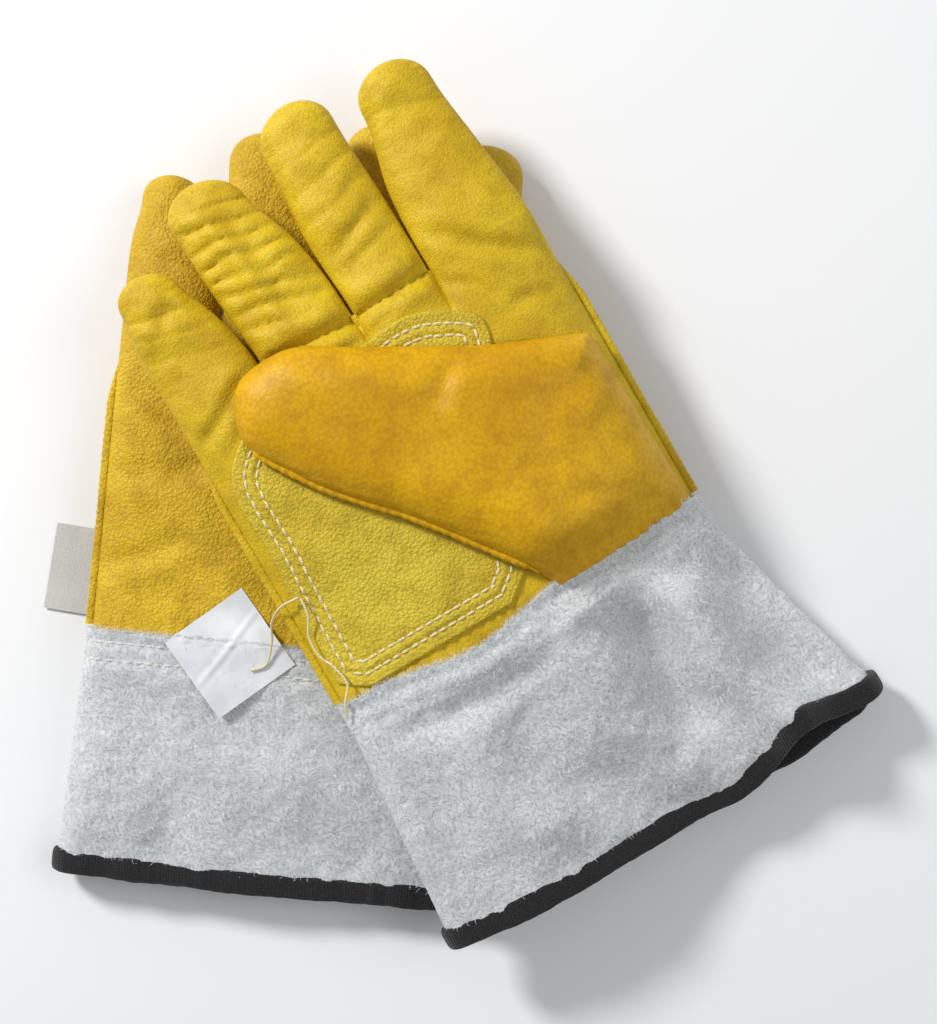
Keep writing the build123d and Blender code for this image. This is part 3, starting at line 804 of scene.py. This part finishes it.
def ring_path(side, down):
    """Both halves of a stitch row round the cuff, on its outer face."""
    q = cuff_columns(150, 12)[2:-2]
    paths = []
    for palm in (True, False):
        x = q * 70.6
        y = lap_edge(side, palm, x) - down + 0.3 * lumps(q * 60, 0 * q, 9, 4)
        paths.append(np.stack([x, y, cuff_height(side, palm, x, y)], -1))
    return paths


def make_cuff_stitches(side):
    points, faces, count = [], [], 0
    for down in LAP_ROWS:
        for palm, path in zip((True, False), ring_path(side, down)):
            face = PALM[side] if palm else -PALM[side]
            # the upper cuff's stitches are sunk in its nap
            radius, rise = (0.34, 0.36) if side == "left" else (0.28, 0.04)
            p, f = stitches([path], face, 3.4, 2.8, radius, rise)
            points.append(p)
            faces += [tuple(i + count for i in q) for q in f]
            count += len(p)
    return piece(f"{side}_cuff_stitches", side, np.concatenate(points), faces, MATERIALS["cuff_thread"],
                 [f"{side}_cuff_stitching"], weld=False)


def make_nap(side, palm, count):
    """Loose fibres standing out of the suede, thicker along its cut edges."""
    rng = np.random.default_rng({"right": 31, "left": 47}[side] + (1 if palm else 0))
    face = PALM[side] if palm else -PALM[side]
    q = rng.uniform(-0.995, 0.995, count)
    edge = rng.uniform(0, 1, count)
    hem = hem_line(side, palm, HEM_OFFSET[side] + q * HEM_HALF[side])
    down = np.where(edge < 0.12, rng.uniform(0, 0.012, count), rng.uniform(0, 0.93, count))
    top = 0.9 + lap_edge(side, palm, q * 70.6)
    y = top + (hem - top) * down
    x = cuff_across(side, q, y)
    base = np.stack([x, y, cuff_height(side, palm, x, y) - face * 0.15], -1)
    lean = rng.normal(-1.4, 1.1, count) + 2.0 * lumps(x, y, 18, 3)
    lean = np.where(down < 0.012, rng.normal(1.57, 0.7, count), lean)
    length = rng.uniform(0.7, 2.2, count)
    curl = rng.normal(0, 0.3, count)
    points = np.empty((count, 4, 3))
    points[:, 0] = base
    heading = lean.copy()
    for i in range(1, 4):
        rise = np.array([0.0, 0.9, 0.6, 0.3])[i] * face
        points[:, i] = points[:, i - 1] + np.stack(
            [np.cos(heading), np.sin(heading), rise + 0 * heading], -1) * (length / 3)[:, None]
        heading = heading + curl
    side_way = np.stack([-np.sin(lean), np.cos(lean), 0 * lean], -1)
    up_way = np.tile([0, 0, float(face)], (count, 1))
    fat = 0.055 * np.array([1.0, 0.95, 0.8, 0.3])
    corners = [(1, -0.5), (-1, -0.5), (0, 1)]
    rings = np.stack([points + (a * side_way[:, None] + b * up_way[:, None]) * fat[None, :, None]
                      for a, b in corners], 2)
    faces = []
    for k in range(count):
        o = k * 12
        for i in range(3):
            for j in range(3):
                n = (j + 1) % 3
                faces.append((o + i * 3 + j, o + i * 3 + n, o + i * 3 + 3 + n, o + i * 3 + 3 + j))
        faces += [(o + 2, o + 1, o), (o + 9, o + 10, o + 11)]
    name = "palm" if palm else "back"
    return piece(f"{side}_cuff_{name}_nap", side, rings, faces, MATERIALS["nap"], weld=False)


PATCH_LOOP = outline(PATCH, PATCH_BASE, 0.9)
THUMB_LOOP = outline(THUMB, THUMB_BASE, 0.9)


def make_patch(side):
    grid = star_grid(PATCH_LOOP, (-22, 50), 90)
    X, Y = grid[..., 0], grid[..., 1]
    Z = patch_height(side, PATCH_LOOP, X, Y)
    return piece(f"{side}_palm_patch_leather", side, np.stack([X, Y, Z], -1),
                 grid_faces(*X.shape, PALM[side] > 0, True), MATERIALS["patch_leather"],
                 [f"{side}_palm_patch"], 1.1)


def make_patch_stitches(side):
    paths = []
    for at in (4.5, 8.5):
        loop = inset(PATCH_LOOP, at)
        loop = np.concatenate([loop, loop[:1]])
        paths.append(np.column_stack([loop, patch_height(side, PATCH_LOOP, loop[:, 0], loop[:, 1])]))
    points, faces = stitches(paths, PALM[side], 3.6, 3.0, 0.42, 0.55)
    return piece(f"{side}_patch_stitches", side, points, faces, MATERIALS["thread"],
                 [f"{side}_patch_stitching"], weld=False)


def make_thumb(side):
    grid = star_grid(THUMB_LOOP, (14, 55), 110)
    X, Y = grid[..., 0], grid[..., 1]
    top, floor = thumb_heights(side, THUMB_LOOP, X, Y)
    flip = PALM[side] > 0
    leather_name = "thumb_leather" if side == "right" else "left_leather"
    made = []
    for part, Z, way in (("front", top, flip), ("back", floor, not flip)):
        made.append(piece(f"{side}_thumb_{part}_leather", side, np.stack([X, Y, Z], -1),
                          grid_faces(*X.shape, way, True), MATERIALS[leather_name],
                          [f"{side}_thumb_{part}", f"{side}_thumb_root_{part}"], THUMB_WALL))
    return made


def make_thumb_welt(side):
    """The rolled seam along the thumb's lower edge."""
    loop = THUMB_LOOP
    kept = loop[(loop[:, 1] < 96) & (loop[:, 0] < 12 + 0 * loop[:, 0]) & (loop[:, 1] > 6)]
    order = np.argsort(-kept[:, 1])
    kept = kept[order]
    kept = kept[kept[:, 0] < 11]
    _, floor = thumb_heights(side, loop, kept[:, 0], kept[:, 1])
    z = floor + PALM[side] * 1.5
    path = np.column_stack([kept, z])
    path[:, :2] += np.array([-0.85, -0.53]) * 0.9
    for _ in range(6):
        path[1:-1] = (path[:-2] + 2 * path[1:-1] + path[2:]) / 4
    k = np.arange(len(path))
    ends = np.clip(np.minimum(k, k[::-1]) / 6, 0.4, 1)
    size = (1.35 + 0.16 * np.sin(k * 1.6) + 0.1 * np.sin(k * 0.37)) * ends
    points, faces = tube(path, np.tile([0, 0, 1.0], (len(path), 1)), size, size * 0.95, 14)
    return piece(f"{side}_thumb_welt_leather", side, points, faces,
                 MATERIALS["thumb_leather" if side == "right" else "left_leather"],
                 [f"{side}_thumb_welt"])


def make_side_welts(side):
    points, faces, count = [], [], 0
    for edge in (-1, 1):
        y = np.linspace(1.5, HAND_LENGTH - 8, 150)
        x = edge * (HAND_HALF + 0.5) + 0 * y
        z = sag(side, x, y)
        k = np.arange(len(y))
        wide = 1.5 + 0.12 * np.sin(k * 1.7) + 0.2 * lumps(y, 0 * y, 12, 3)
        ending = step(HAND_LENGTH - 34, HAND_LENGTH - 10, y)
        wide = wide * (1 - 0.75 * ending)
        path = np.stack([x + edge * (0.5 - 2.6 * ending), y, z], -1)
        p, f = tube(path, np.tile([0, 0, 1.0], (len(y), 1)), wide, 0.95, 12, False, 0.8)
        points.append(p)
        faces += [tuple(i + count for i in q) for q in f]
        count += len(p)
    return piece(f"{side}_side_seam_leather", side, np.concatenate(points), faces,
                 MATERIALS[side + "_leather"],
                 [f"{side}_side_welts"])


def glove_point(side, x, y, z=0.0):
    return tuple(place(side, [(x, y, z)])[0])


for side in ("left", "right"):
    body = side + "_glove"
    for palm in (True, False):
        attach(make_hand(side, palm), body)
        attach(make_cuff(side, palm), body)
        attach(make_nap(side, palm, NAP_FACING_UP if palm == (side == "right") else NAP_FACING_DOWN), body)
        for name in FINGERS:
            leather_piece = make_finger(side, name, palm)
            if side == "left":
                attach(leather_piece, body)
            else:
                level = MID["right"]
                glove_point(side, 0, HAND_LENGTH + 0.5, level)
                glove_point(side, 0, HAND_LENGTH + 15, level)
                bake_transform(leather_piece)
    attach(make_binding(side), body)
    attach(make_cuff_stitches(side), body)
    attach(make_patch(side), body)
    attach(make_patch_stitches(side), body)
    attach(make_side_welts(side), body)
    for thumb_piece in make_thumb(side) + [make_thumb_welt(side)]:
        if side == "left":
            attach(thumb_piece, body)
        else:
            (ax, ay), (bx, by) = THUMB_BEND
            cx, cy, length = (ax + bx) / 2, (ay + by) / 2, math.hypot(bx - ax, by - ay)
            nx, ny = (by - ay) / length, -(bx - ax) / length
            glove_point(side, cx + 7 * nx, cy + 7 * ny)
            glove_point(side, cx - 9 * nx, cy - 9 * ny)
            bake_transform(thumb_piece)


# ---------------------------------------------------------------- trims
def make_sticker():
    """A square of blank paper that lies over the left glove's lap seam."""
    side, width, at, turn = "left", 31.5, (-20.0, -3.2), math.radians(41)
    u, v = np.meshgrid(np.linspace(-0.5, 0.5, 60), np.linspace(-0.5, 0.5, 60))
    x = at[0] + width * (u * math.cos(turn) - v * math.sin(turn))
    y = at[1] + width * (u * math.sin(turn) + v * math.cos(turn))
    under = np.stack([np.where(y + dy > 0.6, hand_height(side, False, x + dx, y + dy),
                               cuff_height(side, False, x + dx, np.minimum(y + dy, 0.6)))
                      for dx, dy in ((0, 0), (0, 3), (0, -3), (0, 6), (0, -6), (3, 0), (-3, 0))])
    z = under.max(0) + 0.35
    for _ in range(60):
        z = np.pad(z, 1, mode="edge")
        z = (z[:-2, 1:-1] + z[2:, 1:-1] + z[1:-1, :-2] + z[1:-1, 2:]) / 4
    z = np.maximum(z, under[0] + 0.3) + 0.14 * lumps(x, y, 8, 8)
    z = z + fold(u, v, (-0.5, -0.1), (0.5, 0.2), -0.3, 0.03)
    obj = piece("blank_paper_sticker", side, np.stack([x, y, z], -1), grid_faces(60, 60, False),
                MATERIALS["sticker_paper"], ["size_sticker"], 0.14)
    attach(obj, "left_glove")


def make_label():
    """A blank woven label on the table at the left glove's side."""
    side, size, at, turn = "left", (28.0, 30.0), (-74.0, 18.5), math.radians(-4)
    u, v = np.meshgrid(np.linspace(-0.5, 0.5, 40), np.linspace(-0.5, 0.5, 44))
    x = at[0] + size[0] * u * math.cos(turn) - size[1] * v * math.sin(turn)
    y = at[1] + size[0] * u * math.sin(turn) + size[1] * v * math.cos(turn)
    z = 0.35 + 1.6 * np.clip(-u - 0.2, 0, 1) * (v + 0.8) + 0.25 * (1 + lumps(x, y, 9, 6)) * step(0.3, -0.2, u)
    obj = piece("blank_fabric_label", side, np.stack([x, y, z], -1), grid_faces(44, 40, False),
                MATERIALS["label_cloth"], ["fabric_label"], 0.3)
    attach(obj, "left_glove")


def make_tail(name, node, route):
    """A loose thread end as a tube mesh along a smooth route."""
    side = "right"
    route = np.array(route, float)
    t = np.concatenate([[0], np.cumsum(np.linalg.norm(np.diff(route, axis=0), axis=1))])
    at = np.linspace(0, t[-1], 70)
    path = np.stack([smooth_line(at, t, route[:, i]) for i in range(3)], -1)
    points, faces = tube(path, np.tile([0, 0, 1.0], (70, 1)), 0.4, 0.4, 8)
    obj = piece(name, side, points, faces, MATERIALS["thread"], [node], weld=False)
    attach(obj, "right_glove")
    glove_point(side, *route[0])
    [tuple(p) for p in place(side, path)]


make_sticker()
make_label()
make_tail("short_thread_tail", "thread_tail_short",
          [(-62.4, 38.5, 42.6), (-69.2, 38.8, 39.4), (-75.0, 36.0, 33.5), (-79.5, 29.5, 29.0),
           (-85.5, 24.5, 27.2), (-90.0, 25.5, 27.0)])
make_tail("long_thread_tail", "thread_tail_long",
          [(-61.8, 38.0, 42.6), (-62.6, 32.0, 42.7), (-66.2, 25.4, 40.6), (-66.4, 18.6, 40.6),
           (-63.8, 12.4, 42.0), (-62.9, 6.0, 42.6), (-66.4, 1.2, 43.0), (-69.0, -4.0, 41.2)])


# ---------------------------------------------------------------- studio
def area_light(name, at, look, size, power, color=(1, 1, 1)):
    data = bpy.data.lights.new(name, "AREA")
    data.shape, data.size, data.energy, data.color = "DISK", size, power, color
    obj = bpy.data.objects.new(name, data)
    obj.location = at
    bpy.context.scene.collection.objects.link(obj)
    obj.rotation_euler = (Vector(look) - Vector(at)).to_track_quat("-Z", "Y").to_euler()
    return obj


floor_mesh = bpy.data.meshes.new("floor")
floor_mesh.from_pydata([(-3, -3, 0), (3, -3, 0), (3, 3, 0), (-3, 3, 0)], [], [(0, 1, 2, 3)])
floor = bpy.data.objects.new("floor", floor_mesh)
floor.location.z = -0.0003
bpy.context.scene.collection.objects.link(floor)
ground = Shader("pale_floor")
ground.put(Base_Color=(0.92, 0.92, 0.92, 1), Roughness=0.9, Specular_IOR_Level=0.1)
floor_mesh.materials.append(ground.material)

area_light("key", (-0.95, 0.75, 0.8), (0, 0, 0), 0.3, 19)
area_light("fill", (0.9, 0.1, 1.0), (0, 0, 0), 1.0, 4)
world = bpy.data.worlds.new("studio")
world.use_nodes = True
world.node_tree.nodes["Background"].inputs["Color"].default_value = (0.95, 0.97, 1.0, 1)
world.node_tree.nodes["Background"].inputs["Strength"].default_value = 0.36
bpy.context.scene.world = world
bpy.context.scene.view_settings.view_transform = "Standard"

camera_data = bpy.data.cameras.new("camera")
camera = bpy.data.objects.new("camera", camera_data)
bpy.context.scene.collection.objects.link(camera)
camera.location = (0.00465, -0.0025, 0.042 + 0.65)
camera_data.sensor_fit = "HORIZONTAL"
camera_data.sensor_width = 36
camera_data.lens = 36 * 0.65 / 0.3073
bpy.context.scene.camera = camera
